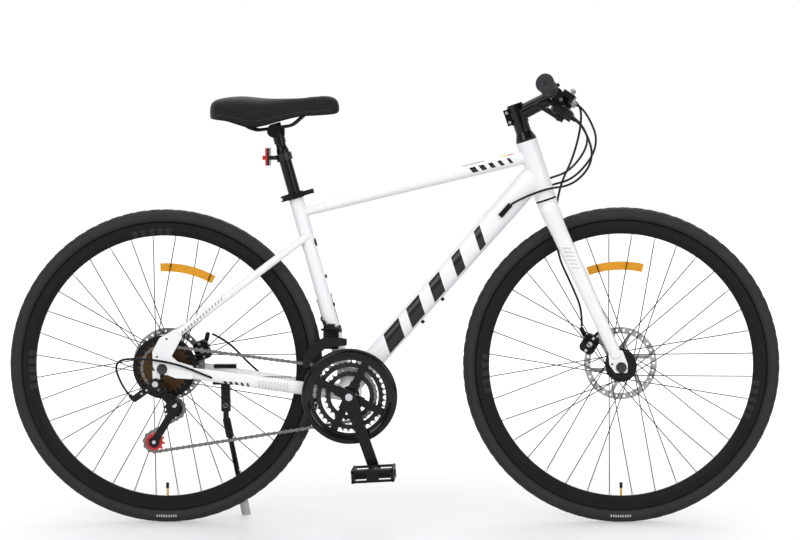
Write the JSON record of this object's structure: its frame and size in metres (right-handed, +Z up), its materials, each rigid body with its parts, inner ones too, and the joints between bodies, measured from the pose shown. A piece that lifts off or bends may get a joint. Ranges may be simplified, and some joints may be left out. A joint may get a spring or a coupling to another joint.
{
  "type": "hybrid bike",
  "caption": "Hybrid bike with a flat handlebar, derailleur gears, disc brakes, a padded saddle and a side kickstand; wheels, cranks, steering and levers move.",
  "frame": {"origin": "on the ground, midway between the two axles, in the bike's middle plane", "axes": "+X towards the front wheel, +Y to the rider's left, +Z up; the chain is on the -Y side"},
  "size_m": [1.6919, 0.621, 0.9818],
  "materials": {
    "black_alloy": "satin black",
    "steel": "bright steel",
    "black_plastic": "matt black",
    "frame_paint": "gloss white",
    "black_metal": "satin black",
    "bronze_steel": "brown oxide",
    "tyre_rubber": "matt black",
    "amber_plastic": "translucent amber",
    "grip_rubber": "matt black",
    "red_plastic": "translucent red",
    "saddle_cover": "matt black synthetic leather"
  },
  "bodies": {
    "frame": {"head_tube": "frame_paint", "top_tube": "frame_paint", "down_tube": "frame_paint", "seat_tube": "frame_paint", "chainstay_right": "frame_paint", "chainstay_left": "frame_paint", "seatstays": "frame_paint", "frame_fittings": "black_metal", "seat_clamp": "black_alloy", "frame_cables": "black_plastic", "rear_axle": "steel", "front_derailleur_mount": "black_metal", "rear_derailleur_mount": "black_alloy", "kickstand_mount": "black_alloy", "rear_caliper": "black_alloy", "chain": "steel"},
    "steering": {"fork": "frame_paint", "stem": "black_alloy", "handlebar": "black_alloy", "grips": "grip_rubber", "lever_mounts": "black_alloy", "front_caliper": "black_alloy", "front_brake_cable": "black_plastic", "front_axle": "steel"},
    "front_wheel": {"front_tyre": "tyre_rubber", "front_rim": "black_alloy", "front_spokes": "black_metal", "front_hub": "black_alloy", "front_rotor": "steel", "front_wheel_trim": "amber_plastic"},
    "rear_wheel": {"rear_tyre": "tyre_rubber", "rear_rim": "black_alloy", "rear_spokes": "black_metal", "rear_hub": "black_alloy", "rear_rotor": "steel", "rear_wheel_trim": "amber_plastic"},
    "freewheel_set": {"freewheel": "bronze_steel"},
    "crankset": {"cranks": "black_alloy", "chainrings": "steel", "chain_guard": "black_plastic"},
    "right_pedal": {"pedal_right": "black_plastic"},
    "left_pedal": {"pedal_left": "black_plastic"},
    "right_brake_lever": {"brake_lever_right": "black_alloy"},
    "left_brake_lever": {"brake_lever_left": "black_alloy"},
    "right_shift_lever": {"shift_lever_right": "black_plastic"},
    "left_shift_lever": {"shift_lever_left": "black_plastic"},
    "rear_arm": {"rear_brake_arm": "black_alloy"},
    "front_arm": {"front_brake_arm": "black_alloy"},
    "front_cage": {"front_derailleur_cage": "steel"},
    "rear_link": {"derailleur_link": "black_alloy"},
    "rear_knuckle": {"derailleur_knuckle": "black_alloy"},
    "rear_cage": {"derailleur_cage": "black_metal"},
    "upper_jockey": {"jockey_upper": "black_plastic"},
    "lower_jockey": {"jockey_lower": "red_plastic"},
    "kickstand": {"kickstand_leg": "black_metal"},
    "quick_release": {"quick_release_lever": "black_metal"},
    "post": {"seat_post": "black_alloy", "tail_reflector": "red_plastic"},
    "saddle": {"saddle_frame": "black_metal", "saddle_pad": "saddle_cover"}
  },
  "joints": [
    {"name": "steering", "type": "hinge", "parent": "frame", "child": "steering", "pos_m": [0.2958, 0, 0.8372], "axis": [-0.3123, 0, 0.95], "range_deg": [-60, 60], "deforming": ["frame_cables"]},
    {"name": "front_wheel_spin", "type": "hinge", "parent": "steering", "child": "front_wheel", "pos_m": [0.5, 0, 0.346], "axis": [0, 1, 0], "continuous": true},
    {"name": "rear_wheel_spin", "type": "hinge", "parent": "frame", "child": "rear_wheel", "pos_m": [-0.5, 0, 0.346], "axis": [0, 1, 0], "continuous": true},
    {"name": "crank_spin", "type": "hinge", "parent": "frame", "child": "crankset", "pos_m": [-0.092, 0, 0.284], "axis": [0, 1, 0], "continuous": true, "deforming": ["chain"]},
    {"name": "freewheel_spin", "type": "hinge", "parent": "frame", "child": "freewheel_set", "pos_m": [-0.5, 0, 0.346], "axis": [0, 1, 0], "continuous": true, "deforming": ["chain"]},
    {"name": "pedal_right_spin", "type": "hinge", "parent": "crankset", "child": "right_pedal", "pos_m": [-0.03637, -0.0762, 0.12336], "axis": [0, 1, 0], "continuous": true},
    {"name": "pedal_left_spin", "type": "hinge", "parent": "crankset", "child": "left_pedal", "pos_m": [-0.14763, 0.0762, 0.44464], "axis": [0, 1, 0], "continuous": true},
    {"name": "brake_lever_right_pull", "type": "hinge", "parent": "steering", "child": "right_brake_lever", "pos_m": [0.38503, -0.1722, 0.92402], "axis": [-0.5439, -0.0535, -0.8375], "range_deg": [0, 17], "stiffness_Nm_per_rad": 0.6},
    {"name": "brake_lever_left_pull", "type": "hinge", "parent": "steering", "child": "left_brake_lever", "pos_m": [0.38503, 0.1722, 0.92402], "axis": [0.5439, -0.0535, 0.8375], "range_deg": [0, 17], "stiffness_Nm_per_rad": 0.6},
    {"name": "shift_lever_right_push", "type": "hinge", "parent": "steering", "child": "right_shift_lever", "pos_m": [0.36795, -0.15424, 0.89289], "axis": [-0.5439, -0.0535, -0.8375], "range_deg": [0, 30], "stiffness_Nm_per_rad": 0.25},
    {"name": "shift_lever_left_push", "type": "hinge", "parent": "steering", "child": "left_shift_lever", "pos_m": [0.36795, 0.15424, 0.89289], "axis": [0.5439, -0.0535, 0.8375], "range_deg": [0, 30], "stiffness_Nm_per_rad": 0.25},
    {"name": "rear_brake_arm_pull", "type": "hinge", "parent": "frame", "child": "rear_arm", "pos_m": [-0.42397, 0.0705, 0.37672], "axis": [0, 1, 0], "range_deg": [0, 20], "deforming": ["frame_cables"]},
    {"name": "front_brake_arm_pull", "type": "hinge", "parent": "steering", "child": "front_arm", "pos_m": [0.43046, 0.0589, 0.38945], "axis": [0, 1, 0], "range_deg": [0, 20], "deforming": ["front_brake_cable"]},
    {"name": "front_derailleur_swing", "type": "hinge", "parent": "frame", "child": "front_cage", "pos_m": [-0.133, -0.031, 0.428], "axis": [-1, 0, 0], "range_deg": [0, 12], "stiffness_Nm_per_rad": 1, "deforming": ["chain"]},
    {"name": "rear_derailleur_swing", "type": "hinge", "parent": "frame", "child": "rear_link", "pos_m": [-0.499, -0.084, 0.297], "axis": [-0.8074, 0, -0.59], "range_deg": [-8, 36], "stiffness_Nm_per_rad": 1.5, "deforming": ["chain"]},
    {"name": "rear_knuckle_swing", "type": "hinge", "parent": "rear_link", "child": "rear_knuckle", "pos_m": [-0.48, -0.07, 0.271], "axis": [-0.8074, 0, -0.59], "range_deg": [-36, 8], "deforming": ["chain"]},
    {"name": "derailleur_cage_swing", "type": "hinge", "parent": "rear_knuckle", "child": "rear_cage", "pos_m": [-0.476, -0.0465, 0.266], "axis": [0, 1, 0], "range_deg": [-25, 25], "stiffness_Nm_per_rad": 0.8, "deforming": ["chain"]},
    {"name": "jockey_upper_spin", "type": "hinge", "parent": "rear_cage", "child": "upper_jockey", "pos_m": [-0.47813, -0.039, 0.25503], "axis": [0, 1, 0], "continuous": true, "deforming": ["chain"]},
    {"name": "jockey_lower_spin", "type": "hinge", "parent": "rear_cage", "child": "lower_jockey", "pos_m": [-0.52301, -0.039, 0.18256], "axis": [0, 1, 0], "continuous": true, "deforming": ["chain"]},
    {"name": "kickstand_fold", "type": "hinge", "parent": "frame", "child": "kickstand", "pos_m": [-0.375, 0.062, 0.252], "axis": [0, 1, 0], "range_deg": [0, 88]},
    {"name": "quick_release_open", "type": "hinge", "parent": "frame", "child": "quick_release", "pos_m": [-0.23458, -0.018, 0.71423], "axis": [0.2639, 0, -0.9646], "range_deg": [0, 150]},
    {"name": "seat_post_slide", "type": "slide", "parent": "frame", "child": "post", "axis": [-0.2639, 0, 0.9646], "range_m": [-0.06, 0.04]},
    {"name": "saddle_tilt", "type": "hinge", "parent": "post", "child": "saddle", "pos_m": [-0.255, 0, 0.863], "axis": [0, 1, 0], "range_deg": [-12, 12]}
  ],
  "couplings": [
    {"joint": "freewheel_spin", "follows": "crank_spin", "ratio": 1.1667},
    {"joint": "jockey_upper_spin", "follows": "crank_spin", "ratio": -2.5455},
    {"joint": "jockey_lower_spin", "follows": "crank_spin", "ratio": 2.5455},
    {"joint": "rear_knuckle_swing", "follows": "rear_derailleur_swing", "ratio": -1},
    {"joint": "rear_brake_arm_pull", "follows": "brake_lever_right_pull", "ratio": 1.1529},
    {"joint": "front_brake_arm_pull", "follows": "brake_lever_left_pull", "ratio": 1.1529}
  ]
}
